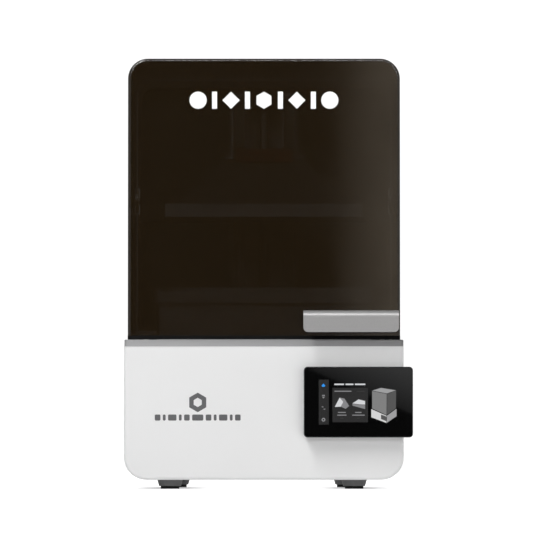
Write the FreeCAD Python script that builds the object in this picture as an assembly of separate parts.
import FreeCAD, Part
import math
import os

# Desktop resin 3-D printer: white base, aluminium deck, flip-up tinted cover, Z tower, vat and
# touchscreen. Millimetres. +Z is up, +X is the user's right, -Y is the front.
# Everything is modelled about the body's own centre plane and moved by BODY_X when it is written,
# because the touchscreen overhangs the right side and the origin is the middle of the whole.

V = FreeCAD.Vector

# ---- driving dimensions -------------------------------------------------------------------------
BASE_W = 300.0
DECK_W = 299.4
COVER_W = 292.4
FRONT_Y = -129.0
REAR_Y = 143.0
PAD_H = 3.0
BASE_Z = 9.65
DECK_Z = 152.9
DECK_T = 7.1
COVER_TOP = 462.4
BASE_WALL = 2.5
BASE_CORNER_R = 24.0
BASE_EDGE_R = 3.5
COVER_WALL = 3.0
COVER_CORNER_R = 21.5
COVER_EDGE_R = 3.0
SEAL_GAP = 0.4
SEAL_TOP = 164.3
GAP = 0.3            # between pieces that move past each other
FIT = 0.05           # radial clearance of a running fit

FOOT_PLACES = ((-101, -110), (97, -110), (-97, 124), (92, 124))
FOOT_TOP_R = 13.7
FOOT_LOW_R = 11.8
FOOT_PAD_R = 10.0

SCREEN_X0 = 42.7
SCREEN_X1 = 159.3
SCREEN_Z0 = 55.1
SCREEN_Z1 = 130.6
SCREEN_Y0 = -146.0
SCREEN_BACK_Y = -130.5
SCREEN_R = 4.0
SCREEN_WALL = 2.0
SCREEN_LIP = 0.8
GLASS_T = 1.1

HANDLE_X0 = 42.3
HANDLE_X1 = 144.4
HANDLE_Z0 = 167.7
HANDLE_Z1 = 191.0
HANDLE_T = 2.5
HANDLE_Y = -146.0
HANDLE_BEND_R = 6.5
HANDLE_CORNER_R = 5.0

HINGE_Y = 131.0
HINGE_Z = 322.0
HINGE_SHAFT_R = 4.0
HINGE_BOSS_R = 7.0
HINGE_FLANGE_R = 13.0
HOUSING_W = 280.0
HOUSING_Y0 = 124.0
HOUSING_TOP = 452.0
HOUSING_WALL = 2.0
HOUSING_CORNER_R = 17.0
LIP_GAP = 0.6        # the housing's front lip closes most of the gap to the cover
LIP_T = 2.0
GROOVE_DEPTH = 1.2

WORK_Y = -25.0       # middle of the display, vat and build plate
LCD_W = 232.0
LCD_D = 138.0
LCD_T = 1.8
WINDOW_W = 220.0
WINDOW_D = 126.0

VAT_IN_W = 226.0
VAT_IN_D = 136.0
VAT_WALL = 3.0
VAT_COLLAR = 7.5
VAT_TOP = 217.0
VAT_STEP_Z = 200.5
VAT_FRAME_T = 5.6
VAT_FILM_T = 0.4
KNOB_X = 129.0
KNOB_R = 10.0
STUD_R = 3.0
LUG_TOP = 172.0

SCREW_Y = 97.0
SCREW_R = 6.0
SCREW_TOP = 436.0
TOWER_W = 75.0
TOWER_Y0 = 79.0
TOWER_Y1 = 124.0
TOWER_TOP = 440.0
TOWER_T = 5.0
RAIL_X = 28.0
RAIL_W = 12.0
RAIL_Y0 = 71.0
RAIL_Z0 = 167.0
RAIL_Z1 = 437.0

BUILD_Z = 294.0      # underside of the build plate at rest
PLATE_W = 218.0
PLATE_D = 124.0
PLATE_H = 14.0
ROOF_LOW_W = 188.0
ROOF_LOW_D = 110.0
ROOF_TOP_W = 84.0
ROOF_TOP_D = 66.0
ROOF_TOP_Z = BUILD_Z + 64.7
ROOF_WALL = 4.0
ARM_TOP_Z = BUILD_Z + 76.0
ARM_LOW_Z = BUILD_Z + 54.0
ARM_W = 66.0
CARRIAGE_Y0 = 56.0
CARRIAGE_Y1 = 66.0
CARRIAGE_W = 88.0
CARRIAGE_LOW_Z = BUILD_Z + 2.0
BLOCK_L = 45.4
BLOCK_W = 27.0
LEVER_Y = -54.0
LEVER_Z = BUILD_Z + 71.0
LEVER_W = 62.0

MOTOR_W = 42.3
MOTOR_LOW_Z = 96.0
ROTOR_R = 12.5
LIGHT_W = 224.0
LIGHT_D = 130.0
LIGHT_WALL = 2.0
LIGHT_LOW_Z = 70.0
LED_COLUMNS = 8
LED_ROWS = 4
FAN_W = 80.0
FAN_T = 25.0
FAN_BORE_R = 38.0
FAN_HUB_R = 18.0
FAN_BLADES = 7
LED_FAN_Z = 16.0
REAR_FAN_X = -70.0
REAR_FAN_Z = 100.0
PANEL_Y0 = 138.0
PANEL_Y1 = 140.0
INLET_X = 85.0
INLET_W = 46.0
INLET_Z0 = 76.0
INLET_Z1 = 132.0
ROCKER_Z = 120.0
ROCKER_TILT = 10.0
BOARD_Z = 30.0
BOARD_T = 1.6

BODY_X = (BASE_W / 2 - SCREEN_X1) / 2
DECK_TOP = DECK_Z + DECK_T
HALF_BASE = BASE_W / 2
HALF_COVER = COVER_W / 2
FLOOR_Z = BASE_Z + BASE_WALL


# ---- building blocks ----------------------------------------------------------------------------
def box(x0, x1, y0, y1, z0, z1):
    return Part.makeBox(x1 - x0, y1 - y0, z1 - z0, V(x0, y0, z0))


def centred_box(x, y, width, depth, z0, z1):
    return box(x - width / 2, x + width / 2, y - depth / 2, y + depth / 2, z0, z1)


def rod(x, y, z, radius, length, axis=(0, 0, 1)):
    return Part.makeCylinder(radius, length, V(x, y, z), V(*axis))


def fuse(shapes):
    first, *others = shapes
    return first.fuse(others).removeSplitter() if others else first


def rounded_loop(u0, u1, v0, v1, radii, place):
    """A closed wire round a rectangle; radii go low-left, low-right, top-right, top-left."""
    corners = [(u0, v0), (u1, v0), (u1, v1), (u0, v1)]
    along = [(1, 0), (0, 1), (-1, 0), (0, -1)]
    starts, arcs = [], []
    for (u, v), radius, step, previous in zip(corners, radii, along, along[-1:] + along[:-1]):
        begin = (u - previous[0] * radius, v - previous[1] * radius)
        end = (u + step[0] * radius, v + step[1] * radius)
        centre = (end[0] - previous[0] * radius, end[1] - previous[1] * radius)
        reach = radius / math.sqrt(2)
        middle = (centre[0] + (previous[0] - step[0]) * reach, centre[1] + (previous[1] - step[1]) * reach)
        starts.append((begin, end))
        arcs.append(middle if radius > 0 else None)
    edges = []
    for index, (begin, end) in enumerate(starts):
        if arcs[index]:
            edges.append(Part.Arc(place(*begin), place(*arcs[index]), place(*end)).toShape())
        following = starts[(index + 1) % 4][0]
        if math.dist(end, following) > 1e-6:
            edges.append(Part.LineSegment(place(*end), place(*following)).toShape())
    return Part.Wire(edges)


def front_slab(x0, x1, z0, z1, radii, y0, y1):
    """A slab whose front view is a rectangle with rounded corners."""
    wire = rounded_loop(x0, x1, z0, z1, radii, lambda u, v: V(u, y0, v))
    return Part.Face(wire).extrude(V(0, y1 - y0, 0))


def plan_slab(x, y, width, depth, radius, z0, z1):
    """A slab whose plan is a rectangle with rounded corners."""
    place = lambda u, v: V(x + u, y + v, z0)
    wire = rounded_loop(-width / 2, width / 2, -depth / 2, depth / 2, [radius] * 4, place)
    return Part.Face(wire).extrude(V(0, 0, z1 - z0))


def ring_slab(x, y, outer, inner, z0, z1, radius=2.0):
    whole = plan_slab(x, y, outer[0], outer[1], radius, z0, z1)
    return whole.cut(centred_box(x, y, inner[0], inner[1], z0 - 1, z1 + 1))


def extrude_x(points, x0, x1):
    """Extrudes a closed outline given as (y, z) points along X."""
    outline = Part.makePolygon([V(x0, y, z) for y, z in points + points[:1]])
    return Part.Face(outline).extrude(V(x1 - x0, 0, 0))


def round_edges(shape, radius, choose):
    return shape.makeFillet(radius, [edge for edge in shape.Edges if choose(edge.BoundBox)])


def screw(x, y, z, length, radius, head_radius, head_height, axis=(0, 0, -1)):
    """A cap screw: its head's underside is at x, y, z and its shank runs along axis."""
    back = tuple(-a for a in axis)
    return fuse([rod(x, y, z, radius, length, axis), rod(x, y, z, head_radius, head_height, back)])


def mirrored(shape):
    return shape.mirror(V(0, 0, 0), V(1, 0, 0))


def both_sides(shape):
    return [shape, mirrored(shape)]


def frustum(x, y, low, top, z0, z1):
    """A block between two rectangles, each (width, depth), at z0 and z1."""
    loops = []
    for (width, depth), z in ((low, z0), (top, z1)):
        corners = ((-1, -1), (1, -1), (1, 1), (-1, 1), (-1, -1))
        loops.append(Part.makePolygon([V(x + i * width / 2, y + j * depth / 2, z) for i, j in corners]))
    return Part.makeLoft(loops, True, True)


def lead(points, radius, bend):
    """A round lead through points, with an arc of radius bend at each inner point."""
    edges, start = [], V(*points[0])
    for before, corner, after in zip(points, points[1:], points[2:]):
        corner = V(*corner)
        back = (V(*before) - corner).normalize()
        ahead = (V(*after) - corner).normalize()
        half = back.getAngle(ahead) / 2
        reach = bend / math.tan(half)
        inward = (back + ahead).normalize()
        middle = corner + inward * (bend / math.sin(half) - bend)
        edges.append(Part.LineSegment(start, corner + back * reach).toShape())
        edges.append(Part.Arc(corner + back * reach, middle, corner + ahead * reach).toShape())
        start = corner + ahead * reach
    edges.append(Part.LineSegment(start, V(*points[-1])).toShape())
    path = Part.Wire(edges)
    section = Part.Wire(Part.makeCircle(radius, V(*points[0]), V(*points[1]) - V(*points[0])))
    return path.makePipeShell([section], True, False)


def save(node, shapes):
    """Writes one node, as one solid or as a group of separate solids."""
    shapes = shapes if isinstance(shapes, list) else [shapes]
    solids = [solid for shape in shapes for solid in shape.Solids]
    whole = solids[0] if len(solids) == 1 else Part.makeCompound(solids)
    whole = whole.copy()
    whole.translate(V(BODY_X, 0, 0))
    if not whole.isValid():
        print("not valid:", node)
    whole.exportStep("parts/" + node + ".step")


# ---- base ---------------------------------------------------------------------------------------
CASE_SCREW_R = 1.75
REAR_SCREWS = [(x, 40.0) for x in (-136.0, 136.0)]
BOTTOM_SCREWS = [(x, y) for x in (-88.0, 88.0) for y in (-90.0, -23.0, 44.0)]
DECK_LUGS = [(x, y) for x in (-138.0, 138.0) for y in (-116.0, 116.0)]
BOARD_POSTS = [(x, y) for x in (42.0, 133.0) for y in (57.0, 110.0)]


def base_outline(inset, y0, y1):
    radius = BASE_CORNER_R - inset
    low = BASE_Z + inset
    top = DECK_Z
    edge = HALF_BASE - inset
    return front_slab(-edge, edge, low, top, [radius, radius, 0, 0], y0, y1)


def base_housing():
    shell = base_outline(0, FRONT_Y, REAR_Y)
    on_end = lambda y: lambda b: b.YLength < 0.01 and abs(b.YMin - y) < 0.01 and b.ZMin < DECK_Z - 0.01
    shell = round_edges(shell, BASE_EDGE_R, on_end(FRONT_Y))
    shell = round_edges(shell, 2.0, on_end(REAR_Y))
    shell = shell.cut(base_outline(BASE_WALL, FRONT_Y + BASE_WALL, REAR_Y + 1))
    rim = base_outline(BASE_WALL, PANEL_Y0 - 2, PANEL_Y0).cut(base_outline(12.0, 100, REAR_Y))
    rim = rim.cut(box(-HALF_BASE, HALF_BASE, 100, REAR_Y, DECK_Z - 12, DECK_Z))
    lugs = []
    for x, y in DECK_LUGS:
        ends = sorted((x - math.copysign(8, x), math.copysign(HALF_BASE - BASE_WALL, x)))
        lugs.append(box(*ends, y - 8, y + 8, DECK_Z - 6, DECK_Z))
    posts = [rod(x, y, FLOOR_Z, 3.0, BOARD_Z - FLOOR_Z) for x, y in BOARD_POSTS]
    shell = fuse([shell, rim] + lugs + posts)
    cuts = [box(-82, 82, -84, 38, BASE_Z - 1, FLOOR_Z + 1)]
    cuts.append(box(78, 126, FRONT_Y - 1, FRONT_Y + 6, 74, 112))
    for side in (-1, 1):
        for row in range(9):
            z = 48 + row * 9
            slot = front_slab(0, 8, 0, 3.5, [0] * 4, 0, 62)
            slot.translate(V(side * HALF_BASE - 4, 52, z))
            cuts.append(slot)
    cuts.append(box(HALF_BASE - 6, HALF_BASE + 1, -92.4, -77.6, 69.6, 77.4))
    cuts += [rod(x, y, DECK_Z - 7, 2.0, 8) for x, y in DECK_LUGS]
    cuts += [rod(x, PANEL_Y0 - 3, z, CASE_SCREW_R, 4, (0, 1, 0)) for x, z in REAR_SCREWS]
    cuts += [rod(x, y, BASE_Z - 1, CASE_SCREW_R, 5) for x, y in BOTTOM_SCREWS]
    cuts += [rod(x, y, BASE_Z - 1, 3.0, 5) for x, y in FOOT_PLACES]
    return shell.cut(cuts)


def bottom_plate():
    plate = plan_slab(0, -23, 188, 146, 4, FLOOR_Z, FLOOR_Z + 1.5)
    cuts = [rod(x, y, FLOOR_Z - 1, CASE_SCREW_R, 4) for x, y in BOTTOM_SCREWS]
    for row in range(9):
        y = WORK_Y - 32 + row * 8
        cuts.append(box(-30, 30, y - 1.75, y + 1.75, FLOOR_Z - 1, FLOOR_Z + 3))
    return plate.cut(cuts)


def case_screws():
    bottom = [screw(x, y, BASE_Z, 6, CASE_SCREW_R, 3.2, 1.6, (0, 0, 1)) for x, y in BOTTOM_SCREWS]
    deck = [screw(x, y, DECK_Z - 6, 9, 2.0, 3.5, 3, (0, 0, 1)) for x, y in DECK_LUGS]
    inward = (0, -1, 0)
    corners = fan_corners(REAR_FAN_X, REAR_FAN_Z)
    rear = [screw(x, PANEL_Y1, z, 5, CASE_SCREW_R, 3.2, 1.8, inward) for x, z in REAR_SCREWS]
    fan = [screw(x, PANEL_Y1 + 4, z, FAN_T + 4, 2.0, 3.2, 1.9, inward) for x, z in corners]
    return bottom + deck + rear + fan


def feet():
    solids = []
    for x, y in FOOT_PLACES:
        cone = Part.makeCone(FOOT_LOW_R, FOOT_TOP_R, BASE_Z - PAD_H, V(x, y, PAD_H), V(0, 0, 1))
        stud = rod(x, y, BASE_Z, 3.0, BASE_WALL + 3)
        solids.append(fuse([cone, stud]))
    return solids


def foot_pads():
    return [rod(x, y, 0, FOOT_PAD_R, PAD_H) for x, y in FOOT_PLACES]


def rear_panel():
    panel = base_outline(BASE_WALL + 0.2, PANEL_Y0, PANEL_Y1)
    cuts = [rod(REAR_FAN_X, PANEL_Y0 - 1, REAR_FAN_Z, FAN_BORE_R - 1, 4, (0, 1, 0))]
    cuts.append(box(INLET_X - INLET_W / 2, INLET_X + INLET_W / 2, 130, REAR_Y, INLET_Z0, INLET_Z1))
    cuts += [rod(x, PANEL_Y0 - 1, z, CASE_SCREW_R, 4, (0, 1, 0)) for x, z in REAR_SCREWS]
    for x, z in fan_corners(REAR_FAN_X, REAR_FAN_Z):
        cuts.append(rod(x, PANEL_Y0 - 1, z, 2.0, 4, (0, 1, 0)))
    for row in range(5):
        z = 24 + row * 8
        cuts.append(box(-60, 60, PANEL_Y0 - 1, PANEL_Y1 + 1, z, z + 3.5))
    return panel.cut(cuts)


def fan_corners(u, v):
    return [(u + i * (FAN_W / 2 - 4.5), v + j * (FAN_W / 2 - 4.5)) for i in (-1, 1) for j in (-1, 1)]


def top_plate():
    depth = REAR_Y - FRONT_Y + 1
    plate = plan_slab(0, (FRONT_Y + REAR_Y) / 2, DECK_W, depth, 3, DECK_Z, DECK_TOP)
    on_top = lambda b: b.ZLength < 0.01 and abs(b.ZMin - DECK_TOP) < 0.01
    plate = plate.makeChamfer(0.8, [edge for edge in plate.Edges if on_top(edge.BoundBox)])
    cuts = [centred_box(0, WORK_Y, LCD_W, LCD_D, DECK_TOP - LCD_T, DECK_TOP + 1)]
    cuts.append(centred_box(0, WORK_Y, WINDOW_W, WINDOW_D, DECK_Z - 1, DECK_TOP + 1))
    cuts.append(rod(0, SCREW_Y, DECK_Z - 1, 11.0, DECK_T + 2))
    cuts += [rod(x, WORK_Y, DECK_Z - 1, STUD_R, DECK_T + 2) for x in (-KNOB_X, KNOB_X)]
    cuts += [rod(x, y, DECK_Z - 1, 2.0, 4) for x, y in DECK_LUGS]
    cuts += [rod(x, y, DECK_Z - 1, 2.5, DECK_T + 2) for x, y in TOWER_SCREWS]
    cuts += [rod(x, y, DECK_Z - 1, 1.6, 6) for x, y in motor_corners()]
    return plate.cut(cuts)


def lcd_panel():
    return centred_box(0, WORK_Y, LCD_W, LCD_D, DECK_TOP - LCD_T, DECK_TOP - 0.1)


# ---- light engine -------------------------------------------------------------------------------
LED_BOARD_W = 204.0
LED_BOARD_D = 112.0
HEAT_SINK_LOW = 43.0
HEAT_SINK_BASE = 5.0
HEAT_SINK_FINS = 22


def light_box():
    outer = (LIGHT_W, LIGHT_D)
    inner = (LIGHT_W - 2 * LIGHT_WALL, LIGHT_D - 2 * LIGHT_WALL)
    tube = ring_slab(0, WORK_Y, outer, inner, LIGHT_LOW_Z, DECK_Z)
    flange = ring_slab(0, WORK_Y, (240, 146), inner, DECK_Z - 3, DECK_Z)
    foot = ring_slab(0, WORK_Y, outer, (LED_BOARD_W - 8, LED_BOARD_D - 8), LIGHT_LOW_Z, LIGHT_LOW_Z + 2)
    return fuse([tube, flange, foot])


def collimating_lens():
    width = LIGHT_W - 2 * LIGHT_WALL
    depth = LIGHT_D - 2 * LIGHT_WALL
    lens = centred_box(0, WORK_Y, width, depth, DECK_Z - 14, DECK_Z - 12)
    grooves = []
    for ring in range(1, 7):
        radius = ring * 9.5
        groove = rod(0, WORK_Y, DECK_Z - 12.6, radius + 0.6, 2).cut(rod(0, WORK_Y, DECK_Z - 13, radius, 3))
        grooves.append(groove)
    return lens.cut(grooves)


def led_board():
    return centred_box(0, WORK_Y, LED_BOARD_W, LED_BOARD_D, LIGHT_LOW_Z - 2, LIGHT_LOW_Z)


def led_array():
    solids = []
    for column in range(LED_COLUMNS):
        for row in range(LED_ROWS):
            x = (column - (LED_COLUMNS - 1) / 2) * 23
            y = WORK_Y + (row - (LED_ROWS - 1) / 2) * 24
            package = centred_box(x, y, 5, 5, LIGHT_LOW_Z, LIGHT_LOW_Z + 1.2)
            dome = Part.makeSphere(2.2, V(x, y, LIGHT_LOW_Z + 1.2), V(0, 0, 1), 0, 90, 360)
            solids.append(fuse([package, dome]))
    return solids


def heat_sink():
    top = LIGHT_LOW_Z - 2
    parts = [centred_box(0, WORK_Y, 180, 100, top - HEAT_SINK_BASE, top)]
    for index in range(HEAT_SINK_FINS):
        x = (index - (HEAT_SINK_FINS - 1) / 2) * 8.2
        parts.append(centred_box(x, WORK_Y, 1.6, 100, HEAT_SINK_LOW, top - HEAT_SINK_BASE))
    return fuse(parts)


# ---- fans: made on the Z axis at the origin, then placed -----------------------------------------
def fan_frame():
    frame = plan_slab(0, 0, FAN_W, FAN_W, 5, 0, FAN_T).cut(rod(0, 0, -1, FAN_BORE_R, FAN_T + 2))
    corners = fan_corners(0, 0)
    frame = frame.cut([rod(x, y, -1, 2.0, FAN_T + 2) for x, y in corners])
    hub = rod(0, 0, 0, FAN_HUB_R - 1, 3)
    struts = []
    for index in range(4):
        strut = box(FAN_HUB_R - 4, FAN_BORE_R + 1, -2, 2, 0, 3)
        strut.rotate(V(0, 0, 0), V(0, 0, 1), 45 + index * 90)
        struts.append(strut)
    return fuse([frame, hub] + struts).cut(rod(0, 0, -1, 1.5 + FIT, 6))


def fan_rotor():
    hub = rod(0, 0, 4, FAN_HUB_R, FAN_T - 5)
    shaft = rod(0, 0, 0.5, 1.5, 6)
    parts = [hub, shaft]
    for index in range(FAN_BLADES):
        blade = box(FAN_HUB_R - 2, FAN_BORE_R - 1.5, -9, 9, -0.7, 0.7)
        blade.rotate(V(0, 0, 0), V(1, 0, 0), 38)
        blade.translate(V(0, 0, FAN_T / 2 + 1.5))
        blade.rotate(V(0, 0, 0), V(0, 0, 1), index * 360 / FAN_BLADES)
        parts.append(blade)
    return fuse(parts)


def beneath_heat_sink(shape):
    shape.translate(V(0, WORK_Y, LED_FAN_Z))
    return shape


def on_rear_panel(shape):
    shape.rotate(V(0, 0, 0), V(1, 0, 0), -90)
    shape.translate(V(REAR_FAN_X, PANEL_Y0 - FAN_T, REAR_FAN_Z))
    return shape


def rear_fan_guard():
    wire_r = 1.0
    y = 145.0
    parts = []
    for radius in (9, 18, 27, 36):
        parts.append(Part.makeTorus(radius, wire_r, V(REAR_FAN_X, y, REAR_FAN_Z), V(0, 1, 0)))
    for x, z in fan_corners(REAR_FAN_X, REAR_FAN_Z):
        reach = V(x - REAR_FAN_X, 0, z - REAR_FAN_Z)
        parts.append(Part.makeCylinder(wire_r - 0.15, reach.Length, V(REAR_FAN_X, y, REAR_FAN_Z), reach))
        parts.append(rod(x, PANEL_Y1, z, 4.6, 5.8, (0, 1, 0)))
    guard = fuse(parts)
    corners = fan_corners(REAR_FAN_X, REAR_FAN_Z)
    holes = [rod(x, PANEL_Y1 - 1, z, 2.0, 9, (0, 1, 0)) for x, z in corners]
    heads = [rod(x, PANEL_Y1 + 4, z, 3.2, 5, (0, 1, 0)) for x, z in corners]
    return guard.cut(holes + heads)


# ---- electrical pieces --------------------------------------------------------------------------
MOTOR_HALF = MOTOR_W / 2
PSU = (-124.0, -28.0, 52.0, 110.0, FLOOR_Z, 52.0)


def motor_corners():
    reach = 15.5
    return [(i * reach, SCREW_Y + j * reach) for i in (-1, 1) for j in (-1, 1)]


def z_motor():
    body = plan_slab(0, SCREW_Y, MOTOR_W, MOTOR_W, 4, MOTOR_LOW_Z, DECK_Z)
    collar = rod(0, SCREW_Y, DECK_Z, 11.0, 2)
    body = fuse([body, collar])
    cuts = [rod(0, SCREW_Y, MOTOR_LOW_Z + 6, ROTOR_R + 0.5, 42)]
    cuts.append(rod(0, SCREW_Y, MOTOR_LOW_Z + 2, SCREW_R + FIT, 70))
    cuts += [rod(x, y, MOTOR_LOW_Z - 1, 1.6, 60) for x, y in motor_corners()]
    return body.cut(cuts)


def motor_screws():
    length = DECK_Z - MOTOR_LOW_Z + 4.5
    return [screw(x, y, MOTOR_LOW_Z, length, 1.6, 2.8, 2.5, (0, 0, 1)) for x, y in motor_corners()]


def motor_rotor():
    rotor = rod(0, SCREW_Y, MOTOR_LOW_Z + 8, ROTOR_R, 38)
    return rotor.cut(rod(0, SCREW_Y, MOTOR_LOW_Z, SCREW_R, 60))


def power_supply():
    x0, x1, y0, y1, z0, z1 = PSU
    case = box(x0, x1, y0, y1, z0, z1)
    vents = []
    for column in range(8):
        for row in range(4):
            vents.append(rod(x0 + 14 + column * 8, y0 + 12 + row * 11, z1 - 1, 2.4, 3))
    terminals = box(x1 - 22, x1 - 1, y0 + 4, y1 - 4, z1, z1 + 8)
    return fuse([case.cut(vents), terminals])


def mainboard():
    top = BOARD_Z + BOARD_T
    board = box(38, 137, 53, 114, BOARD_Z, top)
    chips = [box(78, 92, 76, 90, top, top + 2), box(100, 110, 74, 84, top, top + 1.6)]
    drivers = [box(46 + i * 12, 54 + i * 12, 62, 70, top, top + 9) for i in range(2)]
    sockets = [box(44, 70, 98, 106, top, top + 9), box(76, 96, 98, 106, top, top + 9)]
    capacitors = [rod(118 + i * 11, 66, top, 4.5, 14) for i in range(2)]
    return fuse([board] + chips + drivers + sockets + capacitors)


def power_inlet():
    half = INLET_W / 2
    body = box(INLET_X - half, INLET_X + half, 114, PANEL_Y1, INLET_Z0, INLET_Z1)
    wide = half + 3
    flange = front_slab(INLET_X - wide, INLET_X + wide, INLET_Z0 - 3, INLET_Z1 + 3, [3] * 4, PANEL_Y1, 142.5)
    body = fuse([body, flange])
    socket = front_slab(INLET_X - 13.5, INLET_X + 13.5, 82, 102, [5, 5, 1, 1], 124, REAR_Y + 1)
    rocker_well = box(INLET_X - 10.6, INLET_X + 10.6, 128, REAR_Y + 1, ROCKER_Z - 8.6, ROCKER_Z + 8.6)
    axle = rod(INLET_X - 13, 138, ROCKER_Z, 1.2 + FIT, 26, (1, 0, 0))
    body = body.cut([socket, rocker_well, axle])
    pin_places = ((INLET_X - 7, 90), (INLET_X + 7, 90), (INLET_X, 95))
    pins = [box(x - 1, x + 1, 122, 136, z - 2, z + 2) for x, z in pin_places]
    return fuse([body] + pins)


def power_rocker():
    profile = [(135, -6.5), (142, -7.5), (140.8, 0), (142, 7.5), (135, 6.5)]
    rocker = extrude_x(profile, INLET_X - 10, INLET_X + 10)
    rocker.translate(V(0, 0, ROCKER_Z))
    rocker = fuse([rocker, rod(INLET_X - 12.5, 138, ROCKER_Z, 1.2, 25, (1, 0, 0))])
    rocker.rotate(V(0, 138, ROCKER_Z), V(1, 0, 0), ROCKER_TILT)
    return rocker


def usb_port():
    shell = box(HALF_BASE - 18, HALF_BASE + 0.3, -92.4, -77.6, 69.6, 77.4)
    shell = shell.cut(box(HALF_BASE - 16, HALF_BASE + 1, -91.8, -78.2, 70.2, 76.8))
    tongue = box(HALF_BASE - 17, HALF_BASE - 3, -90.5, -79.5, 73.8, 75.8)
    board = box(HALF_BASE - 34, HALF_BASE - 6, -96, -74, 67.6, 69.2)
    stand = box(HALF_BASE - 16, HALF_BASE - 8, -90, -80, 69.2, 69.6)
    return fuse([shell, tongue, board, stand])


def mains_lead():
    start = [(INLET_X, 114, 95), (INLET_X, 84, 95), (60, 64, 76)]
    end = [(-12, 66, 76), (-40, 66, 76), (-40, 66, 60)]
    return lead(start + end, 3.0, 9.0)


# ---- touchscreen --------------------------------------------------------------------------------
def screen_slab(inset, y0, y1):
    """A slab with the screen's outline, drawn in by inset."""
    radii = [SCREEN_R - inset] * 4
    low, high = SCREEN_Z0 + inset, SCREEN_Z1 - inset
    return front_slab(SCREEN_X0 + inset, SCREEN_X1 - inset, low, high, radii, y0, y1)


def screen_shell():
    shell = screen_slab(0, SCREEN_Y0 + 0.4, SCREEN_BACK_Y)
    back_edge = lambda b: b.YLength < 0.01 and abs(b.YMin - SCREEN_BACK_Y) < 0.01
    shell = round_edges(shell, 1.5, back_edge)
    room = screen_slab(SCREEN_WALL, SCREEN_Y0 + GLASS_T, SCREEN_BACK_Y - SCREEN_WALL)
    seat = screen_slab(SCREEN_LIP, SCREEN_Y0 - 1, SCREEN_Y0 + GLASS_T)
    neck = box(78, 126, SCREEN_BACK_Y, FRONT_Y + 4, 74, 112)
    passage = box(82, 122, SCREEN_BACK_Y - 4, FRONT_Y + 5, 78, 108)
    return fuse([shell.cut([room, seat]), neck]).cut(passage)


def screen_glass():
    return screen_slab(SCREEN_LIP, SCREEN_Y0, SCREEN_Y0 + GLASS_T)


def screen_display():
    y0 = SCREEN_Y0 + GLASS_T
    return box(SCREEN_X0 + 5, SCREEN_X1 - 5, y0, y0 + 3, SCREEN_Z0 + 5, SCREEN_Z1 - 5)


def screen_board():
    y0 = SCREEN_Y0 + GLASS_T + 3
    board = box(SCREEN_X0 + 7, SCREEN_X1 - 7, y0, y0 + BOARD_T, SCREEN_Z0 + 7, SCREEN_Z1 - 7)
    socket = box(92, 112, y0 + BOARD_T, y0 + BOARD_T + 4, 86, 93)
    return fuse([board, socket])


# ---- Z tower and screw --------------------------------------------------------------------------
TOWER_SCREWS = [(x, y) for x in (-45.0, 45.0) for y in (102.0, 117.0)]
TOWER_FLANGE_T = 6.0


def tower():
    half = TOWER_W / 2
    inner = half - TOWER_T
    low, high = DECK_TOP - 1, TOWER_TOP + 1
    channel = box(-half, half, TOWER_Y0, TOWER_Y1, DECK_TOP, TOWER_TOP)
    hollow = box(-inner, inner, TOWER_Y0 + TOWER_T, TOWER_Y1 - TOWER_T, low, high)
    slot = box(-20, 20, TOWER_Y0 - 1, TOWER_Y0 + TOWER_T + 1, low, high)
    flange = box(-52, 52, 82, TOWER_Y1, DECK_TOP, DECK_TOP + TOWER_FLANGE_T)
    flange = flange.cut(box(-half, half, 82, TOWER_Y1, DECK_TOP - 1, DECK_TOP + 8))
    whole = fuse([channel.cut([hollow, slot]), flange])
    return whole.cut([rod(x, y, DECK_TOP - 1, 2.5, 9) for x, y in TOWER_SCREWS])


def tower_screws():
    z = DECK_TOP + TOWER_FLANGE_T
    return [screw(x, y, z, TOWER_FLANGE_T + DECK_T, 2.5, 4.2, 4.5) for x, y in TOWER_SCREWS]


def tower_cap():
    middle = (TOWER_Y0 + TOWER_Y1) / 2
    return plan_slab(0, middle, TOWER_W + 2, TOWER_Y1 - TOWER_Y0, 2, TOWER_TOP, TOWER_TOP + 3)


def linear_rails():
    rail = box(RAIL_X - RAIL_W / 2, RAIL_X + RAIL_W / 2, RAIL_Y0, TOWER_Y0, RAIL_Z0, RAIL_Z1)
    holes = [rod(RAIL_X, RAIL_Y0 - 1, RAIL_Z0 + 10 + i * 25, 2.6, 4, (0, 1, 0)) for i in range(11)]
    grooves = []
    length = RAIL_Z1 - RAIL_Z0 + 2
    for side in (-1, 1):
        grooves.append(rod(RAIL_X + side * RAIL_W / 2, RAIL_Y0 + 3.5, RAIL_Z0 - 1, 1.0, length))
    return both_sides(rail.cut(holes + grooves))


def top_bearing():
    half = TOWER_W / 2 - TOWER_T
    block = box(-half, half, TOWER_Y0 + TOWER_T, TOWER_Y1 - TOWER_T, SCREW_TOP - 10, SCREW_TOP)
    return block.cut(rod(0, SCREW_Y, SCREW_TOP - 11, SCREW_R + FIT, 12))


def lead_screw():
    low = MOTOR_LOW_Z + 3
    return rod(0, SCREW_Y, low, SCREW_R, SCREW_TOP + 1 - low)


def limit_sensor():
    base = box(38, 52, 91, 95, DECK_TOP + TOWER_FLANGE_T, 184)
    prongs = [box(38, 42, 80, 91, 170, 184), box(48, 52, 80, 91, 170, 184)]
    return fuse([base] + prongs)


# ---- rear housing and cover ----------------------------------------------------------------------
def arched(inset, z0, y0, y1, half=HOUSING_W / 2, top=HOUSING_TOP, radius=HOUSING_CORNER_R):
    """A slab under the cover's arch: square below, with rounded upper corners."""
    corner = radius - inset
    return front_slab(inset - half, half - inset, z0, top - inset, [0, 0, corner, corner], y0, y1)


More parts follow.
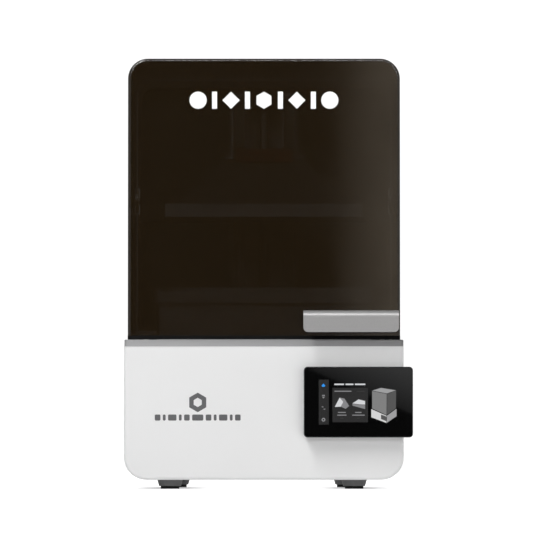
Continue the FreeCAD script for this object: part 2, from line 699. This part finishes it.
def rear_housing():
    half = HOUSING_W / 2
    shell = arched(0, DECK_TOP, HOUSING_Y0, REAR_Y)
    rear_edge = lambda b: b.YLength < 0.01 and abs(b.YMin - REAR_Y) < 0.01 and b.ZMax > DECK_TOP + 0.01
    shell = round_edges(shell, 1.5, rear_edge)
    room = arched(HOUSING_WALL, DECK_TOP - 1, HOUSING_Y0 - 1, REAR_Y - HOUSING_WALL)
    lip_inset = COVER_WALL + LIP_GAP
    lip_y = HOUSING_Y0 + LIP_T
    lip = arched(lip_inset, SEAL_TOP + LIP_GAP, HOUSING_Y0, lip_y, HALF_COVER, COVER_TOP, COVER_CORNER_R)
    cuts = [room]
    for side in (-1, 1):
        cuts.append(rod(side * (half + 4), HINGE_Y, HINGE_Z, HINGE_FLANGE_R + 3, 4, (-side, 0, 0)))
        cuts.append(rod(side * (half + 4), HINGE_Y, HINGE_Z, HINGE_SHAFT_R + FIT, 8, (-side, 0, 0)))
        for row in range(8):
            groove = front_slab(-36, 36, 0, 4, [2] * 4, REAR_Y - GROOVE_DEPTH, REAR_Y + 1)
            groove.translate(V(side * 74, 0, 186 + row * 9))
            cuts.append(groove)
    return fuse([shell, lip]).cut(cuts)


def hinge_units():
    outer = HOUSING_W / 2 - HOUSING_WALL
    block = box(outer - 24, outer, HOUSING_Y0, REAR_Y - HOUSING_WALL, HINGE_Z - 22, HINGE_Z + 22)
    block = block.cut(rod(outer - 25, HINGE_Y, HINGE_Z, HINGE_SHAFT_R + FIT, 30, (1, 0, 0)))
    return both_sides(block)


def hinge_hubs():
    inner = HALF_COVER - COVER_WALL
    flange = rod(inner - 1.8, HINGE_Y - 2, HINGE_Z, HINGE_FLANGE_R, 1.8, (1, 0, 0))
    flange = flange.common(box(inner - 3, inner, 100, REAR_Y - 1, HINGE_Z - 20, HINGE_Z + 20))
    boss = rod(inner, HINGE_Y, HINGE_Z, HINGE_BOSS_R, COVER_WALL, (1, 0, 0))
    shaft = rod(HOUSING_W / 2 - 24, HINGE_Y, HINGE_Z, HINGE_SHAFT_R, 28, (1, 0, 0))
    return both_sides(fuse([flange, boss, shaft]))


def cover_shell():
    half = HALF_COVER
    shape = (half, COVER_TOP, COVER_CORNER_R)
    shell = arched(0, SEAL_TOP, FRONT_Y, REAR_Y, *shape)
    front_edge = lambda b: b.YLength < 0.01 and abs(b.YMin - FRONT_Y) < 0.01 and b.ZMax > SEAL_TOP + 0.01
    shell = round_edges(shell, COVER_EDGE_R, front_edge)
    shell = shell.cut(arched(COVER_WALL, SEAL_TOP - 1, FRONT_Y + COVER_WALL, REAR_Y + 1, *shape))
    cuts = [rod(side * (half + 1), HINGE_Y, HINGE_Z, HINGE_BOSS_R, 6, (-side, 0, 0)) for side in (-1, 1)]
    cuts += [rod(x, FRONT_Y - 1, HANDLE_SCREW_Z, 2.0, 6, (0, 1, 0)) for x in HANDLE_SCREW_XS]
    return shell.cut(cuts)


def cover_seal():
    half = HALF_COVER
    width = COVER_WALL + 0.5
    low = DECK_TOP + SEAL_GAP
    ring = box(-half, half, FRONT_Y, HINGE_Y, low, SEAL_TOP)
    return ring.cut(box(-half + width, half - width, FRONT_Y + width, HINGE_Y + 1, low - 1, SEAL_TOP + 1))


HANDLE_SCREW_XS = (HANDLE_X0 + 18, HANDLE_X1 - 18)
HANDLE_SCREW_Z = 179.0


def cover_handle():
    back = FRONT_Y
    centre = (HANDLE_Y + HANDLE_BEND_R, HANDLE_Z1 - HANDLE_BEND_R)
    inner_r = HANDLE_BEND_R - HANDLE_T
    place = lambda y, z: V(HANDLE_X0, y, z)
    slant = math.sqrt(0.5)

    def run(a, b):
        return Part.LineSegment(place(*a), place(*b)).toShape()

    def arc(radius):
        side = place(centre[0] - radius, centre[1])
        middle = place(centre[0] - radius * slant, centre[1] + radius * slant)
        top = place(centre[0], centre[1] + radius)
        return Part.Arc(side, middle, top).toShape()

    low_back = HANDLE_Z1 - 18
    edges = [run((HANDLE_Y, HANDLE_Z0), (HANDLE_Y, centre[1])), arc(HANDLE_BEND_R)]
    edges.append(run((centre[0], HANDLE_Z1), (back, HANDLE_Z1)))
    edges.append(run((back, HANDLE_Z1), (back, low_back)))
    edges.append(run((back, low_back), (back - HANDLE_T, low_back)))
    edges.append(run((back - HANDLE_T, low_back), (back - HANDLE_T, HANDLE_Z1 - HANDLE_T)))
    edges.append(run((back - HANDLE_T, HANDLE_Z1 - HANDLE_T), (centre[0], HANDLE_Z1 - HANDLE_T)))
    edges.append(arc(inner_r))
    edges.append(run((HANDLE_Y + HANDLE_T, centre[1]), (HANDLE_Y + HANDLE_T, HANDLE_Z0)))
    edges.append(run((HANDLE_Y + HANDLE_T, HANDLE_Z0), (HANDLE_Y, HANDLE_Z0)))
    section = Part.Face(Part.Wire(Part.sortEdges(edges)[0]))
    grip = section.extrude(V(HANDLE_X1 - HANDLE_X0, 0, 0))
    corner = lambda b: b.XLength < 0.01 and b.ZLength < 0.01 and abs(b.ZMin - HANDLE_Z0) < 0.01
    grip = round_edges(grip, HANDLE_CORNER_R, corner)
    return grip.cut([rod(x, FRONT_Y - 5, HANDLE_SCREW_Z, 2.0, 8, (0, 1, 0)) for x in HANDLE_SCREW_XS])


def handle_screws():
    solids = []
    for x in HANDLE_SCREW_XS:
        length = HANDLE_T + COVER_WALL + 3
        bolt = screw(x, FRONT_Y - HANDLE_T, HANDLE_SCREW_Z, length, 2.0, 3.6, 2, (0, 1, 0))
        nut = rod(x, FRONT_Y + COVER_WALL, HANDLE_SCREW_Z, 3.8, 3.5, (0, 1, 0))
        solids.append(fuse([bolt, nut]))
    return solids


# ---- vat ----------------------------------------------------------------------------------------
def vat():
    low = DECK_TOP + VAT_FRAME_T + VAT_FILM_T
    outer = (VAT_IN_W + 2 * VAT_WALL, VAT_IN_D + 2 * VAT_WALL)
    rim = (VAT_IN_W + 2 * VAT_COLLAR, VAT_IN_D + 2 * VAT_COLLAR)
    wall = plan_slab(0, WORK_Y, outer[0], outer[1], 6, low, VAT_STEP_Z)
    collar = plan_slab(0, WORK_Y, rim[0], rim[1], 10, VAT_STEP_Z, VAT_TOP)
    lug = box(outer[0] / 2 - 2, KNOB_X + 11, WORK_Y - 13, WORK_Y + 13, low, LUG_TOP)
    whole = fuse([wall, collar] + both_sides(lug))
    room = plan_slab(0, WORK_Y, VAT_IN_W, VAT_IN_D, 2, low - 1, VAT_TOP + 1)
    cuts = [room] + [rod(x, WORK_Y, low - 1, STUD_R + 0.5, 10) for x in (-KNOB_X, KNOB_X)]
    spout = rod(-VAT_IN_W / 2 + 6, WORK_Y - VAT_IN_D / 2 - 12, VAT_TOP + 3, 9, 30, (0, 1, 0))
    cuts.append(spout)
    return whole.cut(cuts)


def vat_film():
    low = DECK_TOP + VAT_FRAME_T
    return plan_slab(0, WORK_Y, VAT_IN_W + 2 * VAT_WALL, VAT_IN_D + 2 * VAT_WALL, 6, low, low + VAT_FILM_T)


def vat_screw_places():
    x = VAT_IN_W / 2 - 1.0
    y = VAT_IN_D / 2 - 1.0
    along = [(-x + i * 2 * x / 7, WORK_Y + side * y) for i in range(8) for side in (-1, 1)]
    across = [(side * x, WORK_Y - y + j * 2 * y / 4) for j in range(1, 4) for side in (-1, 1)]
    return along + across


def vat_frame():
    low = DECK_TOP
    top = DECK_TOP + VAT_FRAME_T
    outer = plan_slab(0, WORK_Y, VAT_IN_W + 2 * VAT_WALL, VAT_IN_D + 2 * VAT_WALL, 6, low, top)
    inner = plan_slab(0, WORK_Y, VAT_IN_W - 6, VAT_IN_D - 6, 3, low - 1, top + 1)
    holes = [rod(x, y, low - 1, 1.5, 9) for x, y in vat_screw_places()]
    return outer.cut([inner] + holes)


def vat_screws():
    return [rod(x, y, DECK_TOP + 0.4, 1.5, VAT_FRAME_T - 0.4) for x, y in vat_screw_places()]


def vat_studs():
    return [rod(x, WORK_Y, DECK_Z - 2, STUD_R, 34) for x in (-KNOB_X, KNOB_X)]


def vat_knob(side):
    low = LUG_TOP + GAP
    collar = rod(0, 0, low, 6.5, 4)
    grip = rod(0, 0, low + 4, KNOB_R, 12)
    flutes = []
    for index in range(12):
        angle = math.radians(index * 30)
        flutes.append(rod(KNOB_R * math.cos(angle), KNOB_R * math.sin(angle), low + 3, 1.3, 14))
    knob = fuse([collar, grip]).cut(flutes + [rod(0, 0, low - 1, STUD_R + FIT, 16)])
    knob.translate(V(side * KNOB_X, WORK_Y, 0))
    return knob


# ---- build platform and carriage ----------------------------------------------------------------
def build_plate():
    return plan_slab(0, WORK_Y, PLATE_W, PLATE_D, 4, BUILD_Z, BUILD_Z + PLATE_H)


LEVEL_SCREWS = [(x, y) for x in (-24.0, 24.0) for y in (WORK_Y - 12, WORK_Y + 14)]


def platform_body():
    low = (ROOF_LOW_W, ROOF_LOW_D)
    top = (ROOF_TOP_W, ROOF_TOP_D)
    roof = frustum(0, WORK_Y, low, top, BUILD_Z + PLATE_H, ROOF_TOP_Z)
    wall = 2 * ROOF_WALL
    low = (ROOF_LOW_W - wall, ROOF_LOW_D - wall)
    top = (ROOF_TOP_W - wall, ROOF_TOP_D - wall)
    room = frustum(0, WORK_Y, low, top, BUILD_Z + PLATE_H, ROOF_TOP_Z - 2 * ROOF_WALL)
    return roof.cut([room] + [rod(x, y, ROOF_TOP_Z - 18, 2.5, 20) for x, y in LEVEL_SCREWS])


def levelling_screws():
    return [screw(x, y, ARM_TOP_Z, 29, 2.5, 4.2, 3.5) for x, y in LEVEL_SCREWS]


def platform_arm():
    half = ARM_W / 2
    beam = box(-half, half, WORK_Y - ROOF_TOP_D / 2, CARRIAGE_Y0, ROOF_TOP_Z, ARM_TOP_Z)
    rib = box(-half + 8, half - 8, 14, CARRIAGE_Y0, ARM_LOW_Z, ROOF_TOP_Z)
    arm = fuse([beam, rib])
    inner = half - 3.6
    slot = box(-inner, inner, WORK_Y - ROOF_TOP_D / 2 - 1, LEVER_Y + 6, ROOF_TOP_Z + 1, ARM_TOP_Z + 1)
    axle = rod(-half - 1, LEVER_Y, LEVER_Z, 2.0 + FIT, ARM_W + 2, (1, 0, 0))
    return arm.cut([slot, axle] + [rod(x, y, ROOF_TOP_Z - 1, 2.5, 14) for x, y in LEVEL_SCREWS])


def release_lever():
    half = ARM_W / 2 - 4
    band = box(-LEVER_W / 2, LEVER_W / 2, LEVER_Y - 10.2, LEVER_Y - 6.7, LEVER_Z - 10, LEVER_Z + 4.5)
    band = round_edges(band, 1.2, lambda b: b.XLength > 10)
    web = box(-half, half, LEVER_Y - 7, LEVER_Y, LEVER_Z - 3, LEVER_Z + 3)
    barrel = rod(-half, LEVER_Y, LEVER_Z, 4.0, 2 * half, (1, 0, 0))
    axle = rod(-ARM_W / 2 + 0.5, LEVER_Y, LEVER_Z, 2.0, ARM_W - 1, (1, 0, 0))
    return fuse([band, web, barrel, axle])


def carriage_plate():
    half = CARRIAGE_W / 2
    plate = box(-half, half, CARRIAGE_Y0, CARRIAGE_Y1, CARRIAGE_LOW_Z, ARM_TOP_Z)
    flag = box(half, half + 2, CARRIAGE_Y1 - 6, 88, CARRIAGE_LOW_Z, CARRIAGE_LOW_Z + 8)
    return fuse([plate, flag])


def carriage_blocks():
    block = box(RAIL_X - BLOCK_W / 2, RAIL_X + BLOCK_W / 2, CARRIAGE_Y1, TOWER_Y0 - 1.5, CARRIAGE_LOW_Z,
                CARRIAGE_LOW_Z + BLOCK_L)
    groove = box(RAIL_X - RAIL_W / 2 - GAP, RAIL_X + RAIL_W / 2 + GAP, RAIL_Y0 - GAP, TOWER_Y0 + 1,
                 CARRIAGE_LOW_Z - 1, CARRIAGE_LOW_Z + BLOCK_L + 1)
    return both_sides(block.cut(groove))


def screw_nut():
    low = CARRIAGE_LOW_Z + 8
    bracket = box(-12, 12, CARRIAGE_Y1, SCREW_Y, low, low + 12)
    barrel = rod(0, SCREW_Y, low, 11.0, 30)
    flange = rod(0, SCREW_Y, low, 15.0, 12)
    return fuse([bracket, barrel, flange]).cut(rod(0, SCREW_Y, low - 1, SCREW_R + FIT, 40))


# ---- writing ------------------------------------------------------------------------------------
BASE_PIECES = (base_housing, bottom_plate, case_screws, feet, foot_pads, rear_panel, top_plate, lcd_panel)
LIGHT_PIECES = (light_box, collimating_lens, led_board, led_array, heat_sink)
ELECTRICAL_PIECES = (power_supply, mainboard, power_inlet, power_rocker, usb_port, mains_lead, rear_fan_guard)
SCREEN_PIECES = (screen_shell, screen_glass, screen_display, screen_board)
TOWER_PIECES = (tower, tower_screws, tower_cap, linear_rails, top_bearing, limit_sensor)
DRIVE_PIECES = (z_motor, motor_screws, motor_rotor, lead_screw, screw_nut)
COVER_PIECES = (rear_housing, hinge_units, hinge_hubs, cover_shell, cover_seal, cover_handle, handle_screws)
VAT_PIECES = (vat, vat_film, vat_frame, vat_screws, vat_studs)
PLATFORM_PIECES = (build_plate, platform_body, levelling_screws, platform_arm, release_lever)
CARRIAGE_PIECES = (carriage_plate, carriage_blocks)

os.makedirs("parts", exist_ok=True)
for group in (BASE_PIECES, LIGHT_PIECES, ELECTRICAL_PIECES, SCREEN_PIECES, TOWER_PIECES, DRIVE_PIECES,
              COVER_PIECES, VAT_PIECES, PLATFORM_PIECES, CARRIAGE_PIECES):
    for make in group:
        save(make.__name__, make())
save("led_fan_frame", beneath_heat_sink(fan_frame()))
save("led_fan_rotor", beneath_heat_sink(fan_rotor()))
save("rear_fan_frame", on_rear_panel(fan_frame()))
save("rear_fan_rotor", on_rear_panel(fan_rotor()))
save("vat_knob_left", vat_knob(-1))
save("vat_knob_right", vat_knob(1))
